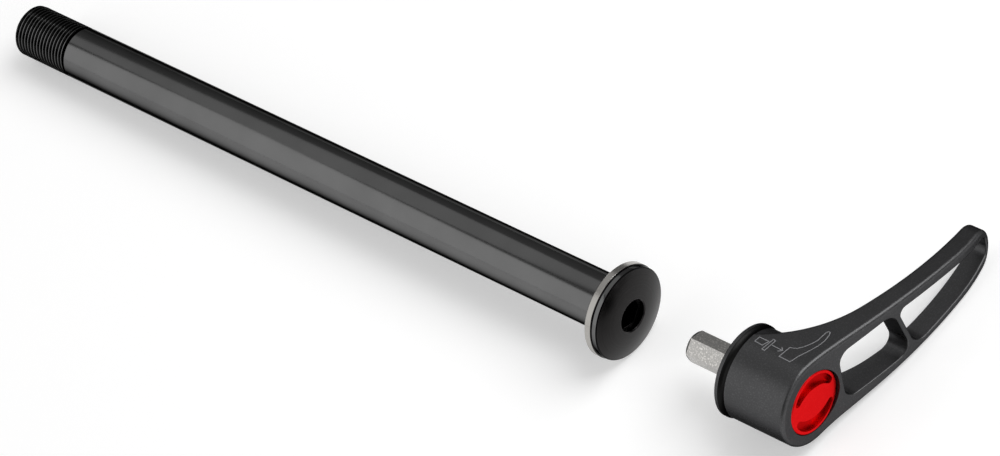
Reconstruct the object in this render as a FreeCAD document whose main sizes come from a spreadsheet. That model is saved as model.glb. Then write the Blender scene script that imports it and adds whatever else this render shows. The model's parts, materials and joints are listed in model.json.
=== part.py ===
import FreeCAD, Part
import math
import os
import re

import Sketcher
from FreeCAD import Placement, Rotation, Vector

# Thru axle of a bicycle's wheel, with the lever that plugs into its hexagon socket drawn out in line
# with it. Every piece is drawn along +X first: the tube runs to -X, the lever stands at +X, and x = 0
# is the bearing face of the washer under the head. Sizes are in millimetres and degrees.

PARTS_FOLDER = "parts"
X_AXIS = Vector(1, 0, 0)
Y_AXIS = Vector(0, 1, 0)
Z_AXIS = Vector(0, 0, 1)

SIZES = {
    # axle shaft
    "axle_length": 175.8,
    "tube_diameter": 12.0,
    "bore_diameter": 8.0,
    "bore_mouth": 0.5,
    "thread_diameter": 12.0,
    "thread_length": 16.5,
    "thread_lead_in": 0.4,
    "relief_width": 0.8,
    "relief_depth": 0.45,
    # axle head with its socket
    "head_diameter": 20.4,
    "head_rim": 1.15,
    "head_edge": 0.6,
    "head_back_edge": 0.2,
    "dome_height": 1.3,
    "dome_radius": 24.0,
    "socket_flats": 6.05,
    "socket_depth": 13.8,
    "socket_turn": 9.0,
    "mouth_diameter": 7.1,
    "mouth_depth": 1.5,
    "mouth_chamfer": 0.2,
    "pilot_diameter": 5.2,
    "pilot_length": 2.4,
    # washer under the head, and the ring that keeps it there
    "washer_diameter": 20.8,
    "washer_thickness": 1.8,
    "washer_clearance": 0.1,
    "washer_edge": 0.25,
    "keeper_section": 0.9,
    "keeper_squeeze": 0.35,
    "keeper_play": 0.3,
    "ring_groove_play": 0.05,
    # drive pin
    "lever_gap": 29.35,
    "pin_reach": 12.9,
    "pin_flats": 5.95,
    "pin_chamfer": 0.4,
    "journal_diameter": 5.7,
    "journal_length": 8.05,
    # toothed hub on the pin
    "hub_lip": 0.2,
    "flange_diameter": 17.2,
    "flange_thickness": 1.5,
    "flange_clearance": 0.15,
    "seal_section": 0.7,
    "seal_clearance": 0.03,
    "tooth_count": 24,
    "tooth_length": 2.9,
    "tooth_root_diameter": 13.5,
    "tooth_height": 0.75,
    "tooth_root_width": 1.0,
    "tooth_tip_width": 0.45,
    "tooth_clearance": 0.06,
    # lever barrel
    "barrel_diameter": 19.5,
    "barrel_length": 17.25,
    "rear_rim_diameter": 20.1,
    "rear_rim_length": 0.85,
    "rear_rim_chamfer": 0.15,
    "cove_length": 1.5,
    "cove_radius": 1.35,
    "web_gap": 0.6,
    "web_thickness": 1.3,
    "journal_clearance": 0.08,
    "chamber_diameter": 12.4,
    # lever arm
    "flank_radius": 431.0,
    "tip_radius": 4.85,
    "tip_station": 49.5,
    "ramp_start": -2.0,
    "ramp_blend": 50.0,
    "ramp_angle": 9.8,
    "ramp_end": 14.7,
    "crown_radius": 160.0,
    "nose_radius": 42.0,
    "arm_thickness": 4.6,
    "back_station": 39.3,
    "back_radius": 88.0,
    "root_radius": 26.3,
    "root_station": 19.6,
    "front_edge": 0.8,
    "back_edge": 0.8,
    # the two windows in the arm and the slanted web between them
    "window_start": 8.15,
    "window_height": 12.5,
    "window_depth": 11.0,
    "window_corner": 2.8,
    "window_upper_corner": 4.0,
    "window_edge": 0.3,
    "web_station": 25.05,
    "web_width": 1.1,
    "web_slant": 14.0,
    "tip_window_end": 53.0,
    "upper_rail": 2.2,
    "lower_rail": 1.75,
    "tip_window_corner": 2.0,
    "tip_window_upper_corner": 1.5,
    "tip_window_lower_corner": 3.5,
    # spring pack on the pin's journal
    "thrust_ring_thickness": 0.4,
    "thrust_ring_clearance": 0.3,
    "spring_diameter": 9.2,
    "spring_wire": 0.6,
    "spring_turns": 3.0,
    "seat_clearance": 0.6,
    "seat_thickness": 0.6,
    "screw_diameter": 4.0,
    "screw_length": 7.0,
    "screw_clearance": 0.05,
    "screw_tip_gap": 0.4,
    "screw_head_diameter": 6.8,
    "screw_head_height": 1.5,
    "screw_edge": 0.2,
    "screw_socket_flats": 2.5,
    "screw_socket_depth": 0.9,
    # cap
    "cap_diameter": 14.0,
    "cap_clearance": 0.12,
    "cap_thickness": 2.5,
    "cap_proud": 0.1,
    "cap_edge": 0.2,
    "cap_rim_width": 0.75,
    "cap_pocket_depth": 0.9,
    "cap_pocket_end": 0.75,
    "cap_bar_width": 7.0,
    "cap_bar_radius": 7.1,
    "cap_turn": -10.0,
    "spigot_length": 1.65,
    "spigot_wall": 1.6,
    "spigot_clearance": 0.1,
    "cap_seal_section": 0.8,
    "cap_seal_clearance": 0.02,
}

# Sizes that follow from the ones above.
DERIVED = {
    # axle
    "tube_radius": "tube_diameter / 2",
    "bore_radius": "bore_diameter / 2",
    "thread_radius": "thread_diameter / 2",
    "thread_end": "thread_length - axle_length",
    "head_radius": "head_diameter / 2",
    "dome_foot": "washer_thickness + head_rim",
    "head_front": "dome_foot + dome_height",
    "socket_corner": "socket_flats / 2 / cos(30)",
    "mouth_radius": "mouth_diameter / 2",
    "socket_bottom": "head_front - socket_depth",
    "pilot_radius": "pilot_diameter / 2",
    "bore_end": "socket_bottom - pilot_length",
    "washer_radius": "washer_diameter / 2",
    "washer_bore": "tube_radius + washer_clearance",
    "keeper_station": "washer_thickness / 2",
    "keeper_radius": "washer_bore - keeper_section / 2 + keeper_squeeze / 2",
    "keeper_half": "keeper_section / 2 + ring_groove_play",
    "keeper_groove_half": "keeper_section / 2 + keeper_play",
    # drive
    "hub_back": "head_front + lever_gap",
    "lever_back": "hub_back + hub_lip",
    "pin_tip": "hub_back - pin_reach",
    "pin_corner": "pin_flats / 2 / cos(30)",
    "flange_radius": "flange_diameter / 2",
    "flange_front": "hub_back + flange_thickness",
    "seal_station": "hub_back + flange_thickness / 2",
    "seal_half": "seal_section / 2 + ring_groove_play",
    "barrel_bore": "flange_radius + flange_clearance",
    "seal_radius": "barrel_bore - seal_clearance - seal_section / 2",
    "hub_front": "flange_front + tooth_length",
    "tooth_root": "tooth_root_diameter / 2",
    "tooth_tip": "tooth_root + tooth_height",
    "tooth_slope": "(tooth_root_width - tooth_tip_width) / 2 / tooth_height",
    "tooth_foot": "tooth_root - tooth_height / 2",
    "tooth_seat": "flange_front + flange_clearance",
    "tooth_bore": "tooth_root + tooth_clearance",
    "space_foot": "tooth_bore - tooth_height / 2",
    "space_top": "tooth_tip + tooth_clearance",
    "space_half_foot": "tooth_root_width / 2 + tooth_clearance + (tooth_root - space_foot) * tooth_slope",
    "space_half_top": "tooth_tip_width / 2 + tooth_clearance - (space_top - tooth_tip) * tooth_slope",
    "journal_radius": "journal_diameter / 2",
    "journal_bore": "journal_radius + journal_clearance",
    "pin_end": "hub_front + journal_length",
    # lever barrel
    "barrel_radius": "barrel_diameter / 2",
    "barrel_front": "lever_back + barrel_length",
    "rear_rim_radius": "rear_rim_diameter / 2",
    "arm_back": "lever_back + rear_rim_length + cove_length",
    "web_back": "hub_front + web_gap",
    "web_front": "web_back + web_thickness",
    "chamber_radius": "chamber_diameter / 2",
    # lever arm, seen from the front
    "flank_hub": "flank_radius - barrel_radius",
    "flank_tip": "flank_radius - tip_radius",
    "flank_s": "(tip_station ^ 2 + flank_hub ^ 2 - flank_tip ^ 2) / (2 * tip_station)",
    "flank_q": "sqrt(flank_hub ^ 2 - flank_s ^ 2)",
    "hub_tangent_s": "-flank_s / flank_hub * barrel_radius",
    "hub_tangent_q": "flank_q / flank_hub * barrel_radius",
    "tip_tangent_s": "tip_station + (tip_station - flank_s) / flank_tip * tip_radius",
    "tip_tangent_q": "flank_q / flank_tip * tip_radius",
    "tip_end": "tip_station + tip_radius",
    # lever arm, seen from the side
    "blend_end": "ramp_start + ramp_blend * sin(ramp_angle)",
    "blend_front": "barrel_front + ramp_blend * (1 - cos(ramp_angle))",
    "ramp_front": "blend_front + (ramp_end - blend_end) * tan(ramp_angle)",
    "crown_station": "ramp_end + crown_radius * sin(ramp_angle)",
    "crown_front": "ramp_front + crown_radius * (1 - cos(ramp_angle))",
    "crown_back": "crown_front - arm_thickness",
    "past_tip": "tip_end + 1",
    "nose_front": "crown_front - nose_radius + sqrt(nose_radius ^ 2 - (past_tip - crown_station) ^ 2)",
    "tip_back": "crown_back - back_radius + sqrt(back_radius ^ 2 - (past_tip - back_station) ^ 2)",
    "root_sine": "(back_station - root_station) / back_radius",
    "root_cosine": "sqrt(1 - root_sine ^ 2)",
    "root_front": "crown_back - back_radius * (1 - root_cosine)",
    "root_centre_s": "root_station + root_radius * root_sine",
    "root_centre_x": "root_front - root_radius * root_cosine",
    "root_foot": "root_centre_s - sqrt(root_radius ^ 2 - (arm_back - root_centre_x) ^ 2)",
    # windows
    "window_floor": "barrel_front - window_depth",
    "window_top": "window_height / 2",
    "web_half": "web_width / 2 / cos(web_slant)",
    "web_near": "web_station - web_half",
    "web_far": "web_station + web_half",
    "upper_arc": "flank_radius - upper_rail",
    "lower_arc": "flank_radius - lower_rail",
    "tip_window_left_top": "sqrt(upper_arc ^ 2 - (web_far - flank_s) ^ 2) - flank_q",
    "tip_window_left_foot": "sqrt(lower_arc ^ 2 - (web_far - flank_s) ^ 2) - flank_q",
    "tip_window_right_top": "sqrt(upper_arc ^ 2 - (tip_window_end - flank_s) ^ 2) - flank_q",
    "tip_window_right_foot": "sqrt(lower_arc ^ 2 - (tip_window_end - flank_s) ^ 2) - flank_q",
    # spring pack
    "thrust_ring_front": "web_front + thrust_ring_thickness",
    "seat_radius": "chamber_radius - seat_clearance",
    "spring_mean": "(spring_diameter - spring_wire) / 2",
    "seat_front": "pin_end + seat_thickness",
    "screw_radius": "screw_diameter / 2",
    "screw_front": "seat_front + screw_head_height",
    # cap
    "cap_radius": "cap_diameter / 2",
    "cap_front": "barrel_front + cap_proud",
    "cap_back": "cap_front - cap_thickness",
    "cap_rim": "cap_radius - cap_rim_width",
    "cap_arc_shift": "cap_bar_radius - cap_bar_width / 2",
    "cap_outer_arc": "cap_rim - cap_pocket_end",
    "cap_inner_arc": "cap_bar_radius + cap_pocket_end",
    "cap_end_q": "(cap_inner_arc ^ 2 - cap_outer_arc ^ 2 - cap_arc_shift ^ 2) / (2 * cap_arc_shift)",
    "cap_end_s": "sqrt(cap_outer_arc ^ 2 - cap_end_q ^ 2)",
    "cap_outer_s": "cap_end_s * cap_rim / cap_outer_arc",
    "cap_outer_q": "cap_end_q * cap_rim / cap_outer_arc",
    "cap_inner_s": "cap_end_s * cap_bar_radius / cap_inner_arc",
    "cap_inner_q": "(cap_end_q + cap_arc_shift) * cap_bar_radius / cap_inner_arc - cap_arc_shift",
    "spigot_outer": "chamber_radius - spigot_clearance",
    "spigot_inner": "spigot_outer - spigot_wall",
    "spigot_back": "cap_back - spigot_length",
    "cap_seal_station": "cap_back - spigot_length / 2",
    "cap_seal_half": "cap_seal_section / 2 + ring_groove_play",
    "cap_seal_radius": "chamber_radius - cap_seal_clearance - cap_seal_section / 2",
    # how it lies: on the thread's end, on the washer's rim and on the arm's lower flank
    "lean": "atan((washer_radius - thread_radius) / (washer_edge + axle_length - thread_lead_in)) / 1 deg",
    "flank_drop": "washer_radius + (crown_back + back_edge - washer_edge) * tan(lean)",
    "roll": "(asin(-flank_s / flank_hub) + acos((flank_radius - flank_drop) / flank_hub)) / 1 deg",
}

doc = FreeCAD.newDocument("thru_axle")


# Sizes and formulas
def fill_sheet():
    sizes_sheet = doc.addObject("Spreadsheet::Sheet", "sizes")
    for row, (name, number) in enumerate(SIZES.items(), start=1):
        sizes_sheet.set(f"A{row}", name.replace("_", " "))
        sizes_sheet.set(f"B{row}", str(number))
        sizes_sheet.setAlias(f"B{row}", name)
    doc.recompute()
    return sizes_sheet


def formula(text):
    """Spell a formula out in the sheet's aliases."""
    def spelt_out(match):
        word = match.group(0)
        if word in DERIVED:
            return "(" + formula(DERIVED[word]) + ")"
        return "sizes." + word if word in SIZES else word
    return re.sub(r"[a-z_]+", spelt_out, text)


def value(text):
    result = sheet.evalExpression(formula(text))
    return float(getattr(result, "Value", result))


# Sketches
def new_body(name):
    body = doc.addObject("PartDesign::Body", name)
    body.Label = name
    return body


def new_sketch(body, plane, station="0"):
    """Sketch on one of the body's own planes, moved along that plane's normal to the station."""
    sketch = body.newObject("Sketcher::SketchObject", body.Name + "_sketch")
    support = [feature for feature in body.Origin.OriginFeatures if feature.Role == plane][0]
    sketch.AttachmentSupport = [(support, "")]
    sketch.MapMode = "FlatFace"
    sketch.setExpression("AttachmentOffset.Base.z", formula(station))
    return sketch


def bind(sketch, text, kind, *places):
    index = sketch.addConstraint(Sketcher.Constraint(kind, *places, value(text)))
    sketch.setExpression(f"Constraints[{index}]", formula(text))


def place_point(sketch, geometry, end, x, y):
    for kind, axis, text in (("DistanceX", -2, x), ("DistanceY", -1, y)):
        if text == "0":
            sketch.addConstraint(Sketcher.Constraint("PointOnObject", geometry, end, axis))
        else:
            bind(sketch, text, kind, -1, 1, geometry, end)


def minor_arc(start, end, radius, side):
    """Arc from start to end with its centre on the left (side 1) or on the right (side -1)."""
    chord = end - start
    across = Vector(-chord.y, chord.x, 0).normalize() * side
    centre = (start + end) * 0.5 + across * math.sqrt(radius ** 2 - chord.Length ** 2 / 4)
    first, last = [math.atan2(p.y - centre.y, p.x - centre.x) for p in (start, end)[::side]]
    if last < first:
        last += 2 * math.pi
    return Part.ArcOfCircle(Part.Circle(centre, Z_AXIS, radius), first, last)


def add_outline(sketch, points):
    """Closed outline. A point is (x, y), or (x, y, radius, side) where an arc leads to the next one."""
    places = [Vector(value(point[0]), value(point[1]), 0) for point in points]
    stretches = []
    for place, following, point in zip(places, places[1:] + places[:1], points):
        if len(point) == 2:
            index = sketch.addGeometry(Part.LineSegment(place, following), False)
            stretches.append((index, 1, 2))
            continue
        radius, side = point[2:]
        index = sketch.addGeometry(minor_arc(place, following, value(radius), side), False)
        stretches.append((index, 1, 2) if side > 0 else (index, 2, 1))
        bind(sketch, radius, "Radius", index)
    for (index, begin, _), before, point in zip(stretches, stretches[-1:] + stretches[:-1], points):
        sketch.addConstraint(Sketcher.Constraint("Coincident", before[0], before[2], index, begin))
        place_point(sketch, index, begin, point[0], point[1])


def add_circle(sketch, x, y, radius):
    circle = Part.Circle(Vector(value(x), value(y), 0), Z_AXIS, value(radius))
    index = sketch.addGeometry(circle, False)
    bind(sketch, radius, "Radius", index)
    place_point(sketch, index, 3, x, y)


def add_hexagon(sketch, corner_radius, turn="0"):
    angles = [f"({turn} + {60 * corner})" for corner in range(6)]
    add_outline(sketch, [(f"-{corner_radius} * sin{a}", f"{corner_radius} * cos{a}") for a in angles])


# Features
def add_feature(body, kind, sketch):
    feature = body.newObject("PartDesign::" + kind, f"{body.Name}_{kind.lower()}")
    feature.Profile = sketch
    return feature


def turn_profile(body, kind, points):
    """Revolution or Groove about X of a closed outline of (x, radius) points."""
    sketch = new_sketch(body, "XZ_Plane")
    add_outline(sketch, points)
    feature = add_feature(body, kind, sketch)
    feature.ReferenceAxis = (sketch, ["H_Axis"])
    feature.Angle = 360
    return feature


def pad(body, sketch, length, side_type="One side"):
    feature = add_feature(body, "Pad", sketch)
    feature.SideType = side_type
    feature.setExpression("Length", formula(length))
    return feature


def pocket_forward(body, sketch, length):
    """Cut from the sketch towards +X, and make sure that it takes something away."""
    doc.recompute()
    volume = body.Shape.Volume
    feature = add_feature(body, "Pocket", sketch)
    feature.Reversed = True
    feature.setExpression("Length", formula(length))
    doc.recompute()
    if body.Shape.Volume > volume - 1e-6:
        raise RuntimeError(f"{feature.Name} cuts nothing")
    return feature


def repeat_about_x(body, feature, sketch, count):
    pattern = body.newObject("PartDesign::PolarPattern", body.Name + "_pattern")
    pattern.Originals = [feature]
    pattern.Axis = (sketch, ["N_Axis"])
    pattern.Angle = 360
    pattern.setExpression("Occurrences", formula(count))
    body.Tip = pattern


def round_edges(body, radius, wanted):
    """Fillet the edges for which wanted(middle of the edge, normals of its two faces) holds."""
    doc.recompute()
    base = body.Tip
    names = []
    for number, edge in enumerate(base.Shape.Edges, start=1):
        middle = edge.valueAt((edge.FirstParameter + edge.LastParameter) / 2)
        faces = base.Shape.ancestorsOfType(edge, Part.Face)
        normals = [face.normalAt(*face.Surface.parameter(middle)) for face in faces]
        if len(normals) == 2 and wanted(middle, normals):
            names.append(f"Edge{number}")
    feature = body.newObject("PartDesign::Fillet", body.Name + "_fillet")
    feature.Base = (base, names)
    feature.setExpression("Radius", formula(radius))
    body.Tip = feature
    doc.recompute()


def corner_of_wall(normals, facing):
    """Whether a wall along X meets a face that looks to the front (facing 1) or the back (-1)."""
    wall, other = sorted(normals, key=lambda normal: abs(normal.x))
    return abs(wall.x) < 0.02 and other.x * facing > 0.1


def make_ring(name, station, radius, section):
    """Ring of round section about X."""
    body = new_body(name)
    sketch = new_sketch(body, "XZ_Plane")
    add_circle(sketch, station, radius, section + " / 2")
    feature = add_feature(body, "Revolution", sketch)
    feature.ReferenceAxis = (sketch, ["H_Axis"])
    feature.Angle = 360


# Axle
def make_axle_shaft():
    body = new_body("axle_shaft")
    turn_profile(body, "Revolution", [
        ("-axle_length", "bore_radius + bore_mouth"),
        ("-axle_length", "thread_radius - thread_lead_in"),
        ("thread_lead_in - axle_length", "thread_radius"),
        ("thread_end - relief_width", "thread_radius"),
        ("thread_end - relief_width", "thread_radius - relief_depth"),
        ("thread_end - relief_depth", "thread_radius - relief_depth"),
        ("thread_end", "tube_radius"),
        ("keeper_station - keeper_groove_half", "tube_radius"),
        ("keeper_station - keeper_groove_half", "keeper_radius - keeper_section / 2"),
        ("keeper_station + keeper_groove_half", "keeper_radius - keeper_section / 2"),
        ("keeper_station + keeper_groove_half", "tube_radius"),
        ("washer_thickness", "tube_radius"),
        ("washer_thickness", "head_radius - head_back_edge"),
        ("washer_thickness + head_back_edge", "head_radius"),
        ("dome_foot", "head_radius", "dome_radius", -1),
        ("head_front", "mouth_radius + mouth_chamfer"),
        ("head_front - mouth_chamfer", "mouth_radius"),
        ("head_front - mouth_depth", "mouth_radius"),
        ("head_front - mouth_depth", "pilot_radius"),
        ("bore_end", "pilot_radius"),
        ("bore_end - (bore_radius - pilot_radius)", "bore_radius"),
        ("bore_mouth - axle_length", "bore_radius"),
    ])
    rim, foot = value("head_radius"), value("dome_foot")
    round_edges(body, "head_edge", lambda middle, _: (
        abs(math.hypot(middle.y, middle.z) - rim) < 1e-3 and abs(middle.x - foot) < 1e-3))
    socket = new_sketch(body, "YZ_Plane", "socket_bottom")
    add_hexagon(socket, "socket_corner")
    pocket_forward(body, socket, "socket_depth")


def make_thrust_washer():
    groove_top = "keeper_radius + keeper_section / 2 + ring_groove_play"
    turn_profile(new_body("thrust_washer"), "Revolution", [
        ("0", "washer_bore"),
        ("0", "washer_radius - washer_edge"),
        ("washer_edge", "washer_radius"),
        ("washer_thickness - washer_edge", "washer_radius"),
        ("washer_thickness", "washer_radius - washer_edge"),
        ("washer_thickness", "washer_bore"),
        ("keeper_station + keeper_half", "washer_bore"),
        ("keeper_station + keeper_half", groove_top),
        ("keeper_station - keeper_half", groove_top),
        ("keeper_station - keeper_half", "washer_bore"),
    ])


# Drive pin and the toothed hub on it
def make_drive_pin():
    body = new_body("drive_pin")
    sketch = new_sketch(body, "YZ_Plane", "pin_tip")
    add_hexagon(sketch, "pin_corner")
    pad(body, sketch, "hub_front - pin_tip")
    turn_profile(body, "Revolution", [
        ("hub_front", "0"),
        ("hub_front", "journal_radius"),
        ("pin_end", "journal_radius"),
        ("pin_end", "0"),
    ])
    turn_profile(body, "Groove", [
        ("pin_tip", "pin_corner - pin_chamfer"),
        ("pin_tip", "pin_corner + 1"),
        ("pin_tip + pin_chamfer", "pin_corner + 1"),
        ("pin_tip + pin_chamfer", "pin_corner"),
    ])
    turn_profile(body, "Groove", [
        ("pin_end", "0"),
        ("pin_end", "screw_radius"),
        ("seat_front - screw_length - screw_tip_gap", "screw_radius"),
        ("seat_front - screw_length - screw_tip_gap - screw_radius / 2", "0"),
    ])


def make_ratchet_hub():
    body = new_body("ratchet_hub")
    turn_profile(body, "Revolution", [
        ("hub_back", "0"),
        ("hub_back", "flange_radius"),
        ("seal_station - seal_half", "flange_radius"),
        ("seal_station - seal_half", "seal_radius - seal_section / 2"),
        ("seal_station + seal_half", "seal_radius - seal_section / 2"),
        ("seal_station + seal_half", "flange_radius"),
        ("flange_front", "flange_radius"),
        ("flange_front", "tooth_root"),
        ("hub_front", "tooth_root"),
        ("hub_front", "0"),
    ])
    sketch = new_sketch(body, "YZ_Plane", "flange_front")
    half_foot = "(tooth_root_width / 2 + (tooth_root - tooth_foot) * tooth_slope)"
    add_outline(sketch, [
        ("-" + half_foot, "tooth_foot"),
        (half_foot, "tooth_foot"),
        ("tooth_tip_width / 2", "tooth_tip"),
        ("-tooth_tip_width / 2", "tooth_tip"),
    ])
    tooth = pad(body, sketch, "tooth_length")
    repeat_about_x(body, tooth, sketch, "tooth_count")
    hole = new_sketch(body, "YZ_Plane", "hub_back")
    add_hexagon(hole, "pin_corner", "roll + socket_turn")
    pocket_forward(body, hole, "hub_front - hub_back")


# Lever
def add_arm(body):
    """Arm and barrel front: the side profile as a slab, trimmed to the outline seen from the front."""
    profile = new_sketch(body, "XY_Plane")
    add_outline(profile, [
        ("arm_back", "root_foot", "root_radius", 1),
        ("root_front", "root_station", "back_radius", 1),
        ("tip_back", "past_tip"),
        ("nose_front", "past_tip", "nose_radius", -1),
        ("crown_front", "crown_station", "crown_radius", -1),
        ("ramp_front", "ramp_end"),
        ("blend_front", "blend_end", "ramp_blend", 1),
        ("barrel_front", "ramp_start"),
        ("barrel_front", "-barrel_radius - 1"),
        ("arm_back", "-barrel_radius - 1"),
    ])
    pad(body, profile, "barrel_diameter + 2", "Symmetric")
    trim = new_sketch(body, "YZ_Plane", "arm_back")
    add_outline(trim, [
        ("hub_tangent_s", "hub_tangent_q", "barrel_radius", 1),
        ("-barrel_radius", "0", "barrel_radius", 1),
        ("hub_tangent_s", "-hub_tangent_q", "flank_radius", 1),
        ("tip_tangent_s", "-tip_tangent_q", "tip_radius", 1),
        ("tip_tangent_s", "tip_tangent_q", "flank_radius", 1),
    ])
    add_outline(trim, [
        ("-barrel_radius - 2", "-barrel_radius - 2"),
        ("past_tip + 1", "-barrel_radius - 2"),
        ("past_tip + 1", "barrel_radius + 2"),
        ("-barrel_radius - 2", "barrel_radius + 2"),
    ])
    pocket_forward(body, trim, "crown_front - arm_back + 1")


def on_outline(place):
    """Whether a place lies on the arm's own outline, and not on the edge of a window."""
    circles = [("0", "0", "barrel_radius"), ("tip_station", "0", "tip_radius"),
               ("flank_s", "-flank_q", "flank_radius")]
    return any(
        abs(math.hypot(place.y - value(s), abs(place.z) - value(q)) - value(radius)) < 1e-3
        for s, q, radius in circles)


def round_arm(body):
    foot = value("root_foot")
    round_edges(body, "front_edge", lambda middle, normals: (
        corner_of_wall(normals, 1) and on_outline(middle)))
    round_edges(body, "back_edge", lambda middle, normals: (
        corner_of_wall(normals, -1) and on_outline(middle) and middle.y > foot))


def round_window(body, start, end):
    """Round the front edge of the window that lies between two stations of the arm."""
    near, far = value(start), value(end)
    floor = value("barrel_front - front_edge")
    round_edges(body, "window_edge", lambda middle, normals: (
        corner_of_wall(normals, 1) and not on_outline(middle)
        and near < middle.y < far and middle.x > floor))


def add_barrel(body):
    turn_profile(body, "Revolution", [
        ("lever_back", "0"),
        ("lever_back", "rear_rim_radius - rear_rim_chamfer"),
        ("lever_back + rear_rim_chamfer", "rear_rim_radius"),
        ("lever_back + rear_rim_length", "rear_rim_radius", "cove_radius", 1),
        ("arm_back", "barrel_radius"),
        ("barrel_front - front_edge", "barrel_radius"),
        ("barrel_front - front_edge", "0"),
    ])


def round_corners(body, radius, corners):
    """Fillet the edges along X that stand at the given (s, q) corners."""
    def wanted(middle, normals):
        if max(abs(normal.x) for normal in normals) > 0.02:
            return False
        return any(math.hypot(middle.y - value(s), middle.z - value(q)) < 0.05 for s, q in corners)
    round_edges(body, radius, wanted)


def cut_tip_window(body):
    slant = " * tan(web_slant)"
    far_top = ("web_far - tip_window_left_top" + slant, "tip_window_left_top")
    far_foot = ("web_far + tip_window_left_foot" + slant, "-tip_window_left_foot")
    end_top = ("tip_window_end", "tip_window_right_top")
    end_foot = ("tip_window_end", "-tip_window_right_foot")
    sketch = new_sketch(body, "YZ_Plane", "arm_back")
    add_outline(sketch, [
        (*far_foot, "lower_arc", 1),
        end_foot,
        (*end_top, "upper_arc", 1),
        far_top,
    ])
    pocket_forward(body, sketch, "crown_front - arm_back + 1")
    round_corners(body, "tip_window_corner", [end_top, end_foot])
    round_corners(body, "tip_window_upper_corner", [far_top])
    round_corners(body, "tip_window_lower_corner", [far_foot])


def cut_hub_window(body):
    slant = " * tan(web_slant)"
    near_top = ("web_near - window_top" + slant, "window_top")
    near_foot = ("web_near + window_top" + slant, "-window_top")
    start_top = ("window_start", "window_top")
    start_foot = ("window_start", "-window_top")
    sketch = new_sketch(body, "YZ_Plane", "window_floor")
    add_outline(sketch, [start_foot, near_foot, near_top, start_top])
    pocket_forward(body, sketch, "crown_front - window_floor + 1")
    round_corners(body, "window_corner", [start_top, start_foot, near_foot])
    round_corners(body, "window_upper_corner", [near_top])


def hollow_barrel(body):
    turn_profile(body, "Groove", [
        ("lever_back - 1", "0"),
        ("lever_back - 1", "barrel_bore"),
        ("tooth_seat", "barrel_bore"),
        ("tooth_seat", "tooth_bore"),
        ("web_back", "tooth_bore"),
        ("web_back", "journal_bore"),
        ("web_front", "journal_bore"),
        ("web_front", "chamber_radius"),
        ("cap_back", "chamber_radius"),
        ("cap_back", "cap_radius + cap_clearance"),
        ("crown_front + 1", "cap_radius + cap_clearance"),
        ("crown_front + 1", "0"),
    ])


def cut_tooth_spaces(body):
    sketch = new_sketch(body, "YZ_Plane", "tooth_seat")
    add_outline(sketch, [
        ("-space_half_foot", "space_foot"),
        ("space_half_foot", "space_foot"),
        ("space_half_top", "space_top"),
        ("-space_half_top", "space_top"),
    ])
    space = pocket_forward(body, sketch, "web_back - tooth_seat")
    repeat_about_x(body, space, sketch, "tooth_count")


def make_lever():
    body = new_body("lever")
    add_arm(body)
    cut_tip_window(body)
    round_arm(body)
    round_window(body, "web_station - window_top", "tip_end")
    add_barrel(body)
    cut_hub_window(body)
    round_window(body, "window_start - 1", "web_station + window_top")
    hollow_barrel(body)
    cut_tooth_spaces(body)


# Spring pack on the pin's journal
def make_thrust_ring():
    turn_profile(new_body("thrust_ring"), "Revolution", [
        ("web_front", "journal_bore"),
        ("web_front", "chamber_radius - thrust_ring_clearance"),
        ("thrust_ring_front", "chamber_radius - thrust_ring_clearance"),
        ("thrust_ring_front", "journal_bore"),
    ])


def make_return_spring():
    body = new_body("return_spring")
    sketch = new_sketch(body, "XZ_Plane")
    add_circle(sketch, "thrust_ring_front + spring_wire / 2", "spring_mean", "spring_wire / 2")
    coil = add_feature(body, "AdditiveHelix", sketch)
    coil.ReferenceAxis = (sketch, ["H_Axis"])
    coil.Mode = "height-turns-angle"
    coil.setExpression("Height", formula("pin_end - thrust_ring_front - spring_wire"))
    coil.setExpression("Turns", formula("spring_turns"))
    coil.Angle = 0


def make_spring_seat():
    turn_profile(new_body("spring_seat"), "Revolution", [
        ("pin_end", "screw_radius + screw_clearance"),
        ("pin_end", "seat_radius"),
        ("seat_front", "seat_radius"),
        ("seat_front", "screw_radius + screw_clearance"),
    ])


def make_retaining_screw():
    body = new_body("retaining_screw")
    shank = "(screw_radius - screw_clearance)"
    turn_profile(body, "Revolution", [
        ("seat_front - screw_length", "0"),
        ("seat_front - screw_length", shank + " - screw_edge"),
        ("seat_front - screw_length + screw_edge", shank),
        ("seat_front", shank),
        ("seat_front", "screw_head_diameter / 2"),
        ("screw_front - screw_edge", "screw_head_diameter / 2"),
        ("screw_front", "screw_head_diameter / 2 - screw_edge"),
        ("screw_front", "0"),
    ])
    socket = new_sketch(body, "YZ_Plane", "screw_front - screw_socket_depth")
    add_hexagon(socket, "screw_socket_flats / 2 / cos(30)")
    pocket_forward(body, socket, "screw_socket_depth")


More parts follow.
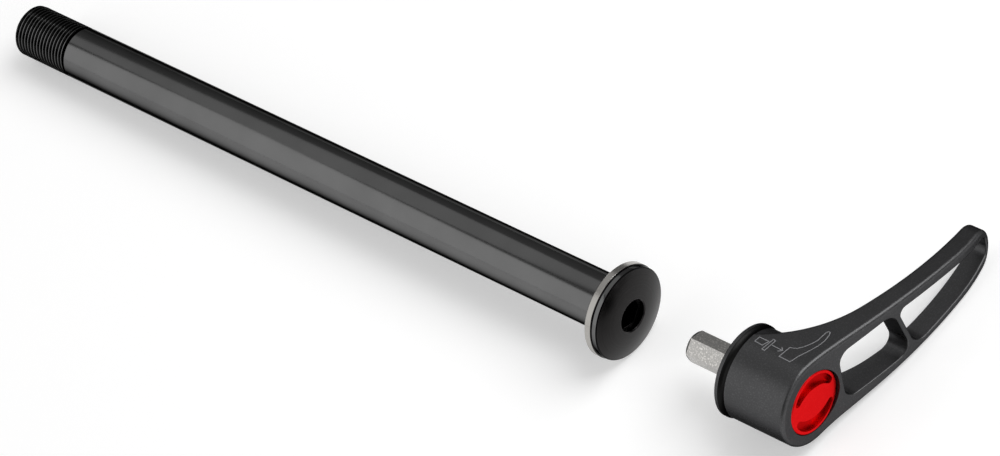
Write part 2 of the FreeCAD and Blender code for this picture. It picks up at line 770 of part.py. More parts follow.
# Cap
def make_end_cap():
    body = new_body("end_cap")
    groove_bottom = "cap_seal_radius - cap_seal_section / 2"
    turn_profile(body, "Revolution", [
        ("spigot_back", "spigot_inner"),
        ("spigot_back", "spigot_outer"),
        ("cap_seal_station - cap_seal_half", "spigot_outer"),
        ("cap_seal_station - cap_seal_half", groove_bottom),
        ("cap_seal_station + cap_seal_half", groove_bottom),
        ("cap_seal_station + cap_seal_half", "spigot_outer"),
        ("cap_back", "spigot_outer"),
        ("cap_back", "cap_radius"),
        ("cap_front - cap_edge", "cap_radius"),
        ("cap_front", "cap_radius - cap_edge"),
        ("cap_front", "0"),
        ("cap_back", "0"),
        ("cap_back", "spigot_inner"),
    ])
    sketch = new_sketch(body, "YZ_Plane", "cap_front - cap_pocket_depth")
    add_outline(sketch, [
        ("cap_outer_s", "cap_outer_q", "cap_rim", 1),
        ("-cap_outer_s", "cap_outer_q", "cap_pocket_end", 1),
        ("-cap_inner_s", "cap_inner_q", "cap_bar_radius", -1),
        ("cap_inner_s", "cap_inner_q", "cap_pocket_end", 1),
    ])
    crescent = pocket_forward(body, sketch, "cap_pocket_depth")
    repeat_about_x(body, crescent, sketch, "2")


# Placing
def check_document():
    doc.recompute()
    for item in doc.Objects:
        if "Invalid" in item.State or "Error" in item.State:
            raise RuntimeError(f"{item.Name} failed: {item.State}")
    for body in sub_parts():
        if body.Shape.isNull() or not body.Shape.isValid() or len(body.Shape.Solids) != 1:
            raise RuntimeError(f"{body.Label} has no valid single solid")


def sub_parts():
    return [item for item in doc.Objects if item.TypeId == "PartDesign::Body"]


def lay_down():
    """Lean every piece on the washer, roll the lever onto its arm with the hub and the cap, and turn
    the bit with its socket. The origin is then the middle of the footprint, on the ground."""
    lean = Rotation(Y_AXIS, -value("lean"))
    socket_turn, roll = value("socket_turn"), value("roll")
    turns = {"axle_shaft": socket_turn, "drive_pin": socket_turn, "ratchet_hub": -roll,
             "lever": -roll, "end_cap": value("cap_turn") - roll}
    for body in sub_parts():
        turn = turns.get(body.Label, 0)
        body.Placement = Placement(Vector(), lean * Rotation(X_AXIS, turn))
    doc.recompute()
    box = FreeCAD.BoundBox()
    for body in sub_parts():
        box.add(body.Shape.optimalBoundingBox(False, False))
    shift = Vector(-box.Center.x, -box.Center.y, -box.ZMin)
    for body in sub_parts():
        body.Placement = Placement(shift, body.Placement.Rotation)
    doc.recompute()
    print("origin of the drawing frame", shift)
    print("lean", value("lean"), "roll", value("roll"))


sheet = fill_sheet()
make_axle_shaft()
make_ring("washer_o_ring", "keeper_station", "keeper_radius", "keeper_section")
make_thrust_washer()
make_drive_pin()
make_ratchet_hub()
make_ring("dust_seal", "seal_station", "seal_radius", "seal_section")
make_lever()
make_thrust_ring()
make_return_spring()
make_spring_seat()
make_retaining_screw()
make_end_cap()
make_ring("cap_o_ring", "cap_seal_station", "cap_seal_radius", "cap_seal_section")
check_document()
lay_down()
check_document()
os.makedirs(PARTS_FOLDER, exist_ok=True)
for part in sub_parts():
    part.Shape.exportStep(f"{PARTS_FOLDER}/{part.Label}.step")
    print(part.Label, round(part.Shape.Volume, 2), "mm3")
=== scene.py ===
import json
import math

import bmesh
import bpy
from mathutils import Matrix, Vector


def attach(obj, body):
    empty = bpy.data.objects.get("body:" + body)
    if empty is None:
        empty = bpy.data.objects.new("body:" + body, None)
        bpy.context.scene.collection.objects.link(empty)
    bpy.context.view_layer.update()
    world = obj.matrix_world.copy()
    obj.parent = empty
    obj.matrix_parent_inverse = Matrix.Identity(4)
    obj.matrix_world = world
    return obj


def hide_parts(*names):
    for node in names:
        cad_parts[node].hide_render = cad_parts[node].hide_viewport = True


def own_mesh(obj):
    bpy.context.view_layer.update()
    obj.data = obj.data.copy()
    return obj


# Looks of a bicycle's thru axle with its plug-in lever drawn out of it. The model is in metres. The
# meshes made here are drawn in millimetres in the axle's own frame: a station along the axle,
# counted from the washer's bearing face, and two directions across it, side and top.

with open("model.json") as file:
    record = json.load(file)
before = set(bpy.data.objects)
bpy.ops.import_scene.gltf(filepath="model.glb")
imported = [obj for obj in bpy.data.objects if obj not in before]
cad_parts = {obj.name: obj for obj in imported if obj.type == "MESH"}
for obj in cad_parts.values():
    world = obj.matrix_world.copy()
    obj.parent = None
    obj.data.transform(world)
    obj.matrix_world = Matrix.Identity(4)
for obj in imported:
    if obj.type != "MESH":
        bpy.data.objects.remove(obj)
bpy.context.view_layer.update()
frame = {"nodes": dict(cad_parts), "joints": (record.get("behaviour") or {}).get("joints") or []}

MM = 0.001

# The washer's hinge, which lies on the axle's axis
JOINTS = {joint["name"]: joint for joint in frame["joints"]}
AXIS = Vector(JOINTS["washer_spin"]["axis"]).normalized()

# Washer, and the width of the painted shade on its edge by the head: a dark strip that stands in
# for the shadow in the gap to the head
WASHER_THICKNESS = 1.8
WASHER_PAINTED_SHADE = 0.2

# Meshes
SEGMENTS = 120
CORNER_STEPS = 4
MERGE_DISTANCE = 1e-5
SHARP_ANGLE = math.radians(32)

# Axle
AXLE_LENGTH = 175.8
TUBE_RADIUS = 6.0
BORE_RADIUS = 4.0
BORE_MOUTH = 0.5
THREAD_LENGTH = 16.5
THREAD_PITCH = 1.0
THREAD_DEPTH = 0.5
THREAD_LEAD_IN = 0.4
THREAD_LEAD_OUT = 0.1
# The thread's grooves get painted shade, near black, from this far under the crests
THREAD_CREST = 0.02
# One turn as (share of the pitch, share of the depth): rising edge, crest, falling flank, root
THREAD_TURN = [(0.0, 0.92), (0.03, 1.0), (0.18, 1.0), (0.21, 0.92),
               (0.57, 0.10), (0.60, 0.0), (0.65, 0.0), (0.68, 0.10)]
RELIEF_WIDTH = 0.8
RELIEF_DEPTH = 0.45
RELIEF_ROUNDING = 0.05
EDGE_ROUNDING = 0.08
RING_STATION = 0.9
RING_GROOVE_HALF = 0.75
RING_GROOVE_RADIUS = 5.375
HEAD_RADIUS = 10.2
HEAD_RIM = 1.15
HEAD_EDGE = 0.3
HEAD_SLOT = 0.12
HEAD_SLOT_DEPTH = 0.8
DOME_HEIGHT = 1.3
DOME_RADIUS = 24.0
DOME_STEPS = 7
MOUTH_RADIUS = 3.55
MOUTH_DEPTH = 1.5
MOUTH_EDGE = 0.2
MOUTH_ROUNDING = 0.06
# The dome's last point keeps clear of the rounding of the mouth
MOUTH_MARGIN = 0.12
SOCKET_FLATS = 6.05
SOCKET_DEPTH = 13.8
SOCKET_TURN = 9.0
SOCKET_EDGE_DEPTH = 0.06
SOCKET_EDGE_WIDTH = 0.04
# Faces of the socket lie nearer to the axis than this
SOCKET_REACH = 5.0
PILOT_RADIUS = 2.6
PILOT_LENGTH = 2.4

# Lever, rolled down onto its arm, and its bit and cap
LEVER_ROLL = -7.84
BIT_TIP = 20.7
BIT_CHAMFER = 0.4
BARREL_RADIUS = 9.75
COVE_START = 34.65
COVE_END = 36.15
FLANK_RADIUS = 431.0
FLANK_CENTRE = (-17.192, -420.899)
FLANK_START = 0.398
CAP_FRONT = 51.15
CAP_POCKET_DEPTH = 0.9

# Sign on the lever: how it plugs into the axle, as (station, side) points, and its lines
SIGN_LEVER = [(47.0, -0.4), (44.3, -0.3), (44.6, 2.8), (45.2, 2.9), (46.0, 3.3), (46.8, 4.3),
              (47.5, 5.7), (48.0, 7.2), (48.05, 9.9), (48.25, 10.4), (48.7, 10.3), (49.0, 9.6),
              (49.25, 8.0), (49.1, 6.2), (48.6, 4.5), (48.0, 2.8), (47.5, 1.5), (47.3, 0.3)]
SIGN_STUB = [(40.0, 1.9), (37.6, 1.9), (37.5, 0.5), (39.5, 0.4)]
SIGN_FLANGE = [(40.4, 2.9), (41.0, 2.7), (40.8, -0.5), (40.1, -0.5)]
SIGN_ARROW = [(43.3, 1.9), (43.9, 1.3), (43.2, 0.7)]
SIGN_SHAFT = [(41.3, 1.4), (43.9, 1.3)]
SIGN_LINE = 0.18
SIGN_PROUD = 0.012
SIGN_SUNK = 0.05
SIGN_STEP = 0.5

# Spring between the lever's thrust ring and the seat on the bit's end
SPRING_BACK = 40.3
SPRING_FRONT = 46.05
SPRING_MEAN = 4.3
SPRING_WIRE = 0.3
SPRING_TURNS = 3
SPRING_STEPS = 40
WIRE_SIDES = 12

# Camera, as the photograph was taken
CAMERA_AIM = Vector((0.0370528, -0.0254496, 0.0276365))
CAMERA_DISTANCE = 0.845365
CAMERA_AZIMUTH = 56.93436
CAMERA_ELEVATION = 48.32522
CAMERA_ROLL = -22.86221
CAMERA_LENS = 149.96

# Studio
FLOOR_SIZE = 8.0
FLOOR_GLOW = 0.38
ROOM_LIGHT = 0.18
STUDIO_AIM = Vector((0.0, -0.02, 0.01))


def axle_frame():
    """Matrix from the axle's own frame, in millimetres, to the model's, in metres."""
    washer_middle = Vector(JOINTS["washer_spin"]["pos_m"])
    origin = washer_middle - AXIS * (WASHER_THICKNESS / 2 * MM)
    side = Vector((0, 1, 0))
    top = AXIS.cross(side)
    turn = Matrix((AXIS, side, top)).transposed().to_4x4()
    return Matrix.Translation(origin) @ turn @ Matrix.Scale(MM, 4)


AXLE = axle_frame()
LEVER = AXLE @ Matrix.Rotation(math.radians(LEVER_ROLL), 4, "X")


# Node tools
def link(tree, source, target):
    tree.links.new(source, target)


def math_node(tree, operation, first, second=None, clamp=False):
    node = tree.nodes.new("ShaderNodeMath")
    node.operation = operation
    node.use_clamp = clamp
    for socket, given in zip(node.inputs, (first, second)):
        if isinstance(given, (int, float)):
            socket.default_value = given
        elif given is not None:
            link(tree, given, socket)
    return node.outputs[0]


def mix_colours(tree, share, first, second):
    node = tree.nodes.new("ShaderNodeMix")
    node.data_type = "RGBA"
    factor, colour_a, colour_b = node.inputs[0], node.inputs[6], node.inputs[7]
    for socket, given in ((factor, share), (colour_a, first), (colour_b, second)):
        if isinstance(given, bpy.types.NodeSocket):
            link(tree, given, socket)
        else:
            socket.default_value = given
    return node.outputs[2]


def noise(tree, place, scale, detail=3.0):
    node = tree.nodes.new("ShaderNodeTexNoise")
    node.inputs["Scale"].default_value = scale
    node.inputs["Detail"].default_value = detail
    link(tree, place, node.inputs["Vector"])
    return node.outputs["Fac"]


def new_group(name, inputs, outputs):
    """Shader node group with named inputs (name, kind, default) and outputs (name, kind)."""
    group = bpy.data.node_groups.new(name, "ShaderNodeTree")
    for label, kind, default in inputs:
        socket = group.interface.new_socket(label, in_out="INPUT", socket_type="NodeSocket" + kind)
        socket.default_value = default
    for label, kind in outputs:
        group.interface.new_socket(label, in_out="OUTPUT", socket_type="NodeSocket" + kind)
    return group, group.nodes.new("NodeGroupInput"), group.nodes.new("NodeGroupOutput")


def place_group(tree, group, **values):
    node = tree.nodes.new("ShaderNodeGroup")
    node.node_tree = group
    for label, given in values.items():
        socket = node.inputs[label.replace("_", " ")]
        if isinstance(given, bpy.types.NodeSocket):
            link(tree, given, socket)
        else:
            socket.default_value = given
    return node


# Effects that several finishes use
def make_axle_places():
    """Where a point lies about the axle, in millimetres: the place, along it and out from it."""
    group, _, out = new_group("axle_places", [], [
        ("Place", "Vector"), ("Station", "Float"), ("Radius", "Float")])
    coordinates = group.nodes.new("ShaderNodeTexCoord")
    from_origin = group.nodes.new("ShaderNodeVectorMath")
    from_origin.operation = "SUBTRACT"
    from_origin.inputs[1].default_value = AXLE.translation
    link(group, coordinates.outputs["Object"], from_origin.inputs[0])
    place = group.nodes.new("ShaderNodeVectorMath")
    place.operation = "SCALE"
    place.inputs["Scale"].default_value = 1 / MM
    link(group, from_origin.outputs[0], place.inputs[0])
    along = group.nodes.new("ShaderNodeVectorMath")
    along.operation = "DOT_PRODUCT"
    along.inputs[1].default_value = AXIS
    link(group, place.outputs[0], along.inputs[0])
    across = group.nodes.new("ShaderNodeVectorMath")
    across.operation = "CROSS_PRODUCT"
    across.inputs[1].default_value = AXIS
    link(group, place.outputs[0], across.inputs[0])
    out_from_axis = group.nodes.new("ShaderNodeVectorMath")
    out_from_axis.operation = "LENGTH"
    link(group, across.outputs[0], out_from_axis.inputs[0])
    link(group, place.outputs[0], out.inputs["Place"])
    link(group, along.outputs["Value"], out.inputs["Station"])
    link(group, out_from_axis.outputs["Value"], out.inputs["Radius"])
    return group


def make_turning_marks():
    """Fine rings that a lathe leaves: round the axle on a wall, and about its middle on a face."""
    group, given, out = new_group("turning_marks", [
        ("Station", "Float", 0.0), ("Radius", "Float", 0.0), ("Rings per mm", "Float", 6.0)], [
        ("Marks", "Float")])
    both = math_node(group, "ADD", given.outputs["Station"], given.outputs["Radius"])
    scaled = math_node(group, "MULTIPLY", both, given.outputs["Rings per mm"])
    rings = group.nodes.new("ShaderNodeTexNoise")
    rings.noise_dimensions = "1D"
    rings.inputs["Scale"].default_value = 1.0
    rings.inputs["Detail"].default_value = 2.0
    link(group, scaled, rings.inputs["W"])
    link(group, rings.outputs["Fac"], out.inputs["Marks"])
    return group


def make_fine_grain():
    """Grain of a blasted or anodised face: a fine height, and a mask of its pale specks."""
    group, given, out = new_group("fine_grain", [
        ("Place", "Vector", (0, 0, 0)), ("Grains per mm", "Float", 4.0),
        ("Specks", "Float", 0.5)], [
        ("Height", "Float"), ("Specks", "Float"), ("Clouds", "Float")])
    grain = group.nodes.new("ShaderNodeTexNoise")
    grain.inputs["Detail"].default_value = 2.0
    link(group, given.outputs["Place"], grain.inputs["Vector"])
    link(group, given.outputs["Grains per mm"], grain.inputs["Scale"])
    above = math_node(group, "SUBTRACT", grain.outputs["Fac"], 0.5)
    steep = math_node(group, "MULTIPLY", above, 6.0)
    specks = math_node(group, "MULTIPLY", math_node(group, "MAXIMUM", steep, 0.0),
                       given.outputs["Specks"], clamp=True)
    clouds = noise(group, given.outputs["Place"], 0.12)
    link(group, grain.outputs["Fac"], out.inputs["Height"])
    link(group, specks, out.inputs["Specks"])
    link(group, clouds, out.inputs["Clouds"])
    return group


AXLE_PLACES = make_axle_places()
TURNING_MARKS = make_turning_marks()
FINE_GRAIN = make_fine_grain()


# Finishes
def new_finish(name, **shader_values):
    """Material with a Principled shader, whose even values are set on its own sockets."""
    material = bpy.data.materials.new(name)
    material.use_nodes = True
    shader = material.node_tree.nodes["Principled BSDF"]
    for label, number in shader_values.items():
        shader.inputs[label.replace("_", " ")].default_value = number
    return material, material.node_tree, shader


def set_roughness(tree, shader, source, least, spread):
    """Roughness that runs from its least number, up by the spread, with a source of 0 to 1."""
    rough = math_node(tree, "MULTIPLY_ADD", source, spread)
    rough.node.inputs[2].default_value = least
    link(tree, rough, shader.inputs["Roughness"])


def lathe_marks(tree, places, rings_per_mm):
    marks = place_group(tree, TURNING_MARKS, Station=places.outputs["Station"],
                        Radius=places.outputs["Radius"], Rings_per_mm=rings_per_mm)
    return marks.outputs["Marks"]


def fine_grain(tree, places, grains_per_mm, specks):
    """Outputs of the grain at the places of the axle: its Height, Specks and Clouds."""
    return place_group(tree, FINE_GRAIN, Place=places.outputs["Place"],
                       Grains_per_mm=grains_per_mm, Specks=specks).outputs


def raise_grain(tree, shader, height, strength, distance):
    bump = tree.nodes.new("ShaderNodeBump")
    bump.inputs["Strength"].default_value = strength
    bump.inputs["Distance"].default_value = distance
    link(tree, height, bump.inputs["Height"])
    link(tree, bump.outputs["Normal"], shader.inputs["Normal"])


def anodised_tube():
    material, tree, shader = new_finish("anodised_tube", Metallic=1.0)
    shader.inputs["Specular Tint"].default_value = (0.1, 0.1, 0.1, 1)
    places = place_group(tree, AXLE_PLACES)
    marks = lathe_marks(tree, places, 5.0)
    grain = fine_grain(tree, places, 3.0, specks=0.4)
    colour = mix_colours(tree, grain["Clouds"], (0.12, 0.12, 0.12, 1), (0.155, 0.155, 0.155, 1))
    # Painted shade: the thread's grooves under the crests are near black, standing in for the shade
    # between the crests
    past_thread = math_node(tree, "LESS_THAN", places.outputs["Station"],
                            THREAD_LENGTH - AXLE_LENGTH - RELIEF_DEPTH)
    under_crest = math_node(tree, "LESS_THAN", places.outputs["Radius"],
                            TUBE_RADIUS - THREAD_CREST)
    painted_groove_shade = math_node(tree, "MULTIPLY", past_thread, under_crest)
    colour = mix_colours(tree, painted_groove_shade, colour, (0.006, 0.006, 0.006, 1))
    link(tree, colour, shader.inputs["Base Color"])
    set_roughness(tree, shader, marks, least=0.12, spread=0.08)
    raise_grain(tree, shader, marks, 0.08, 0.00002)
    return material


def turned_head():
    """Face of the axle's head and its socket, with the rings of the lathe about the middle, and
    painted shade on the rounded rim of the face.
    """
    material, tree, shader = new_finish("turned_head", Metallic=1.0)
    places = place_group(tree, AXLE_PLACES)
    marks = lathe_marks(tree, places, 4.0)
    colour = mix_colours(tree, marks, (0.016, 0.015, 0.015, 1), (0.030, 0.029, 0.029, 1))
    # Painted shade: the rim of the face is near black, a dark line that stands in for shade there
    # and hides its highlight
    painted_rim_shade = math_node(tree, "GREATER_THAN", places.outputs["Radius"], HEAD_RADIUS - HEAD_EDGE)
    colour = mix_colours(tree, painted_rim_shade, colour, (0.003, 0.003, 0.003, 1))
    link(tree, colour, shader.inputs["Base Color"])
    set_roughness(tree, shader, marks, least=0.18, spread=0.12)
    raise_grain(tree, shader, marks, 0.15, 0.00002)
    return material


def anodised_lever():
    material, tree, shader = new_finish("anodised_lever", Metallic=1.0)
    shader.inputs["Specular Tint"].default_value = (0.1, 0.1, 0.1, 1)
    places = place_group(tree, AXLE_PLACES)
    grain = fine_grain(tree, places, 3.5, specks=0.5)
    colour = mix_colours(tree, grain["Specks"], (0.080, 0.080, 0.082, 1), (0.122, 0.122, 0.125, 1))
    # Painted shade: the cove between the rear rim and the barrel is near black, where shadow falls
    # in the groove
    past_rim = math_node(tree, "GREATER_THAN", places.outputs["Station"], COVE_START)
    before_barrel = math_node(tree, "LESS_THAN", places.outputs["Station"], COVE_END)
    painted_cove_shade = math_node(tree, "MULTIPLY", past_rim, before_barrel)
    colour = mix_colours(tree, painted_cove_shade, colour, (0.015, 0.015, 0.015, 1))
    link(tree, colour, shader.inputs["Base Color"])
    set_roughness(tree, shader, grain["Clouds"], least=0.37, spread=0.10)
    raise_grain(tree, shader, grain["Height"], 0.25, 0.00005)
    return material


def brushed_washer():
    material, tree, shader = new_finish("brushed_washer", Metallic=1.0)
    places = place_group(tree, AXLE_PLACES)
    marks = lathe_marks(tree, places, 9.0)
    colour = mix_colours(tree, marks, (0.30, 0.29, 0.275, 1), (0.48, 0.465, 0.44, 1))
    # Painted shade: a near black strip on the washer's face by the head, standing in for the shadow
    # in the gap between them
    painted_gap_shade = math_node(tree, "GREATER_THAN", places.outputs["Station"],
                            WASHER_THICKNESS - WASHER_PAINTED_SHADE)
    colour = mix_colours(tree, painted_gap_shade, colour, (0.008, 0.008, 0.008, 1))
    link(tree, colour, shader.inputs["Base Color"])
    set_roughness(tree, shader, marks, least=0.18, spread=0.12)
    raise_grain(tree, shader, marks, 0.2, 0.00003)
    return material


def blasted_bit():
    material, tree, shader = new_finish("blasted_bit", Metallic=1.0)
    places = place_group(tree, AXLE_PLACES)
    grain = fine_grain(tree, places, 3.2, specks=0.8)
    colour = mix_colours(tree, grain["Specks"], (0.42, 0.41, 0.395, 1), (0.74, 0.72, 0.69, 1))
    on_chamfer = math_node(tree, "LESS_THAN", places.outputs["Station"], BIT_TIP + BIT_CHAMFER)
    colour = mix_colours(tree, on_chamfer, colour, (0.10, 0.10, 0.095, 1))
    link(tree, colour, shader.inputs["Base Color"])
    set_roughness(tree, shader, grain["Clouds"], least=0.24, spread=0.15)
    raise_grain(tree, shader, grain["Height"], 0.5, 0.00006)
    return material


def ground_steel():
    material, tree, shader = new_finish("ground_steel", Metallic=1.0)
    places = place_group(tree, AXLE_PLACES)
    marks = lathe_marks(tree, places, 7.0)
    colour = mix_colours(tree, marks, (0.24, 0.24, 0.24, 1), (0.36, 0.36, 0.35, 1))
    link(tree, colour, shader.inputs["Base Color"])
    set_roughness(tree, shader, marks, least=0.26, spread=0.12)
    return material


def red_anodised_cap():
    material, tree, shader = new_finish("red_anodised_cap", Metallic=1.0)
    shader.inputs["Specular Tint"].default_value = (1.0, 0.5, 0.5, 1)
    places = place_group(tree, AXLE_PLACES)
    grain = fine_grain(tree, places, 4.0, specks=0.5)
    colour = mix_colours(tree, grain["Specks"], (0.68, 0.008, 0.010, 1), (0.80, 0.016, 0.018, 1))
    # Painted shade: the floors of the cap's pockets are a darker red, where shade falls in the
    # recess
    painted_pocket_shade = math_node(tree, "LESS_THAN", places.outputs["Station"],
                          CAP_FRONT - CAP_POCKET_DEPTH / 2)
    colour = mix_colours(tree, painted_pocket_shade, colour, (0.44, 0.004, 0.005, 1))
    link(tree, colour, shader.inputs["Base Color"])
    set_roughness(tree, shader, grain["Clouds"], least=0.30, spread=0.10)
    raise_grain(tree, shader, grain["Height"], 0.15, 0.00004)
    return material


def matt_rubber():
    material, tree, shader = new_finish("matt_rubber")
    places = place_group(tree, AXLE_PLACES)
    grain = fine_grain(tree, places, 6.0, specks=0.3)
    colour = mix_colours(tree, grain["Clouds"], (0.012, 0.012, 0.012, 1), (0.024, 0.024, 0.024, 1))
    link(tree, colour, shader.inputs["Base Color"])
    set_roughness(tree, shader, grain["Specks"], least=0.6, spread=0.2)
    return material


def engraved_line():
    material, tree, shader = new_finish("engraved_line")
    places = place_group(tree, AXLE_PLACES)
    grain = fine_grain(tree, places, 8.0, specks=0.8)
    colour = mix_colours(tree, grain["Specks"], (0.20, 0.20, 0.21, 1), (0.34, 0.34, 0.35, 1))
    link(tree, colour, shader.inputs["Base Color"])
    set_roughness(tree, shader, grain["Clouds"], least=0.6, spread=0.1)
    return material


# Meshes
def new_piece(name, shape, place, body, finish):
    """Object from a bmesh drawn in millimetres, with its finish, that rides on a body."""
    bmesh.ops.remove_doubles(shape, verts=shape.verts, dist=MERGE_DISTANCE)
    bmesh.ops.recalc_face_normals(shape, faces=shape.faces)
    mesh = bpy.data.meshes.new(name)
    shape.to_mesh(mesh)
    shape.free()
    mesh.transform(place)
    mesh.polygons.foreach_set("use_smooth", [True] * len(mesh.polygons))
    mesh.set_sharp_from_angle(angle=SHARP_ANGLE)
    mesh.materials.append(finish)
    piece = bpy.data.objects.new(name, mesh)
    bpy.context.scene.collection.objects.link(piece)
    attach(piece, body)
    return piece


def rounded(outline):
    """Outline of (station, radius) points, where a third number rounds the corner by so much."""
    done = []
    for number, point in enumerate(outline):
        corner = Vector(point[:2])
        if len(point) == 2:
            done.append(tuple(corner))
            continue
        before = (Vector(outline[number - 1][:2]) - corner).normalized()
        after = (Vector(outline[(number + 1) % len(outline)][:2]) - corner).normalized()
        half = before.angle(after) / 2
        centre = corner + (before + after).normalized() * (point[2] / math.sin(half))
        start = corner + before * (point[2] / math.tan(half)) - centre
        end = corner + after * (point[2] / math.tan(half)) - centre
        for step in range(CORNER_STEPS + 1):
            spoke = start.lerp(end, step / CORNER_STEPS).normalized() * point[2]
            done.append(tuple(centre + spoke))
    return done


def ring(shape, station, radius):
    """Ring of points about the axle. Station and radius are numbers or functions of the angle."""
    points = []
    for step in range(SEGMENTS):
        angle = 2 * math.pi * step / SEGMENTS
        x = station(angle) if callable(station) else station
        r = radius(angle) if callable(radius) else radius
        points.append(shape.verts.new((x, r * math.cos(angle), r * math.sin(angle))))
    return points


def bridge(shape, first, second):
    for step in range(SEGMENTS):
        following = (step + 1) % SEGMENTS
        shape.faces.new((first[step], first[following], second[following], second[step]))


def turn_outline(shape, outline):
    """Walls between the rings of an open outline. Returns the rings."""
    rings = [ring(shape, *point) for point in outline]
    for first, second in zip(rings, rings[1:]):
        bridge(shape, first, second)
    return rings


def socket_wall(angle):
    """Radius of the hexagon socket's wall."""
    off_flat = (math.degrees(angle) - SOCKET_TURN + 30) % 60 - 30
    return SOCKET_FLATS / 2 / math.cos(math.radians(off_flat))


def add_thread(shape, start, end, end_radius):
    """Thread as a grid that follows the helix, cut off square at both ends."""
    turns = math.ceil((end - start) / THREAD_PITCH) + 1
    columns = []
    for step in range(SEGMENTS):
        angle = 2 * math.pi * step / SEGMENTS
        column = []
        for turn in range(turns + 1):
            for share, height in THREAD_TURN:
                x = start + (turn + share - 1 + step / SEGMENTS) * THREAD_PITCH
                x = min(max(x, start), end)
                r = TUBE_RADIUS - (1 - height) * THREAD_DEPTH
                r = min(r, TUBE_RADIUS - THREAD_LEAD_IN + (x - start))
                if x == end:
                    r = end_radius
                if x == start:
                    r = TUBE_RADIUS - THREAD_LEAD_IN
                column.append(shape.verts.new((x, r * math.cos(angle), r * math.sin(angle))))
        columns.append(column)
    rows = len(columns[0])
    for step in range(SEGMENTS):
        last = step == SEGMENTS - 1
        following, shift = (columns[0], len(THREAD_TURN)) if last else (columns[step + 1], 0)
        for row in range(rows - 1 - shift):
            near, far = row + shift, row + shift + 1
            shape.faces.new((columns[step][row], following[near],
                             following[far], columns[step][row + 1]))


def make_axle(tube_finish, head_finish):
    shape = bmesh.new()
    far_end = -AXLE_LENGTH
    thread_end = THREAD_LENGTH - AXLE_LENGTH
    relief = TUBE_RADIUS - RELIEF_DEPTH
    add_thread(shape, far_end, thread_end - RELIEF_WIDTH, TUBE_RADIUS - THREAD_LEAD_OUT)
    dome_foot = WASHER_THICKNESS + HEAD_RIM
    head_front = dome_foot + DOME_HEIGHT
    mouth = MOUTH_RADIUS + MOUTH_EDGE
    centre = dome_arc_centre(dome_foot, HEAD_RADIUS, head_front, mouth)
    dome_rim = HEAD_RADIUS - HEAD_EDGE
    dome = []
    for step in range(DOME_STEPS + 1):
        r = dome_rim + (mouth + MOUTH_MARGIN - dome_rim) * step / DOME_STEPS
        dome.append((centre[0] + math.sqrt(DOME_RADIUS ** 2 - (r - centre[1]) ** 2), r))
    outside = rounded([
        (thread_end - RELIEF_WIDTH, TUBE_RADIUS - THREAD_LEAD_OUT),
        (thread_end - RELIEF_WIDTH, relief),
        (thread_end - RELIEF_DEPTH, relief, RELIEF_ROUNDING),
        (thread_end, TUBE_RADIUS, EDGE_ROUNDING),
        (RING_STATION - RING_GROOVE_HALF, TUBE_RADIUS, EDGE_ROUNDING),
        (RING_STATION - RING_GROOVE_HALF, RING_GROOVE_RADIUS),
        (RING_STATION + RING_GROOVE_HALF, RING_GROOVE_RADIUS),
        (RING_STATION + RING_GROOVE_HALF, TUBE_RADIUS),
        (WASHER_THICKNESS, TUBE_RADIUS),
        (WASHER_THICKNESS, HEAD_RADIUS - HEAD_SLOT_DEPTH),
        (WASHER_THICKNESS + HEAD_SLOT, HEAD_RADIUS - HEAD_SLOT_DEPTH),
        (WASHER_THICKNESS + HEAD_SLOT, HEAD_RADIUS, EDGE_ROUNDING),
        (dome_foot, HEAD_RADIUS, EDGE_ROUNDING),
        *dome,
        (head_front, mouth, MOUTH_ROUNDING),
        (head_front - MOUTH_EDGE, MOUTH_RADIUS, MOUTH_ROUNDING),
        (head_front - MOUTH_DEPTH, MOUTH_RADIUS),
    ])
    rings = turn_outline(shape, outside)
    shelf = ring(shape, head_front - MOUTH_DEPTH,
                 lambda angle: socket_wall(angle) + SOCKET_EDGE_WIDTH)
    wall = ring(shape, head_front - MOUTH_DEPTH - SOCKET_EDGE_DEPTH, socket_wall)
    floor = ring(shape, head_front - SOCKET_DEPTH, socket_wall)
    bridge(shape, rings[-1], shelf)
    bridge(shape, shelf, wall)
    bridge(shape, wall, floor)
    inside = turn_outline(shape, [
        (head_front - SOCKET_DEPTH, PILOT_RADIUS),
        (head_front - SOCKET_DEPTH - PILOT_LENGTH, PILOT_RADIUS),
        (head_front - SOCKET_DEPTH - PILOT_LENGTH - BORE_RADIUS + PILOT_RADIUS, BORE_RADIUS),
        (far_end + BORE_MOUTH, BORE_RADIUS),
        (far_end, BORE_RADIUS + BORE_MOUTH),
        (far_end, TUBE_RADIUS - THREAD_LEAD_IN),
    ])
    bridge(shape, floor, inside[0])
    axle = new_piece("threaded_axle", shape, AXLE, "axle", tube_finish)
    axle.data.materials.append(head_finish)
    to_axle = AXLE.inverted()
    for face in axle.data.polygons:
        place = to_axle @ face.center
        off_axis = math.hypot(place.y, place.z)
        in_socket = place.x > head_front - SOCKET_DEPTH and off_axis < SOCKET_REACH
        if place.x > dome_foot - EDGE_ROUNDING or in_socket:
            face.material_index = 1
    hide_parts("axle_shaft")


def dome_arc_centre(foot, foot_radius, front, front_radius):
    """Centre (station, radius) of the dome's arc through its foot and its front."""
    start, end = Vector((foot, foot_radius)), Vector((front, front_radius))
    chord = end - start
    across = Vector((chord.y, -chord.x)).normalized()
    if across.x > 0:
        across = -across
    return (start + end) / 2 + across * math.sqrt(DOME_RADIUS ** 2 - chord.length_squared / 4)


def skin(shape, sections):
    """Closed skin over a row of sections that have the same number of points."""
    sides = len(sections[0])
    for near, far in zip(sections, sections[1:]):
        for corner in range(sides):
            following = (corner + 1) % sides
            shape.faces.new((near[corner], near[following], far[following], far[corner]))
    shape.faces.new(sections[0])
    shape.faces.new(sections[-1])


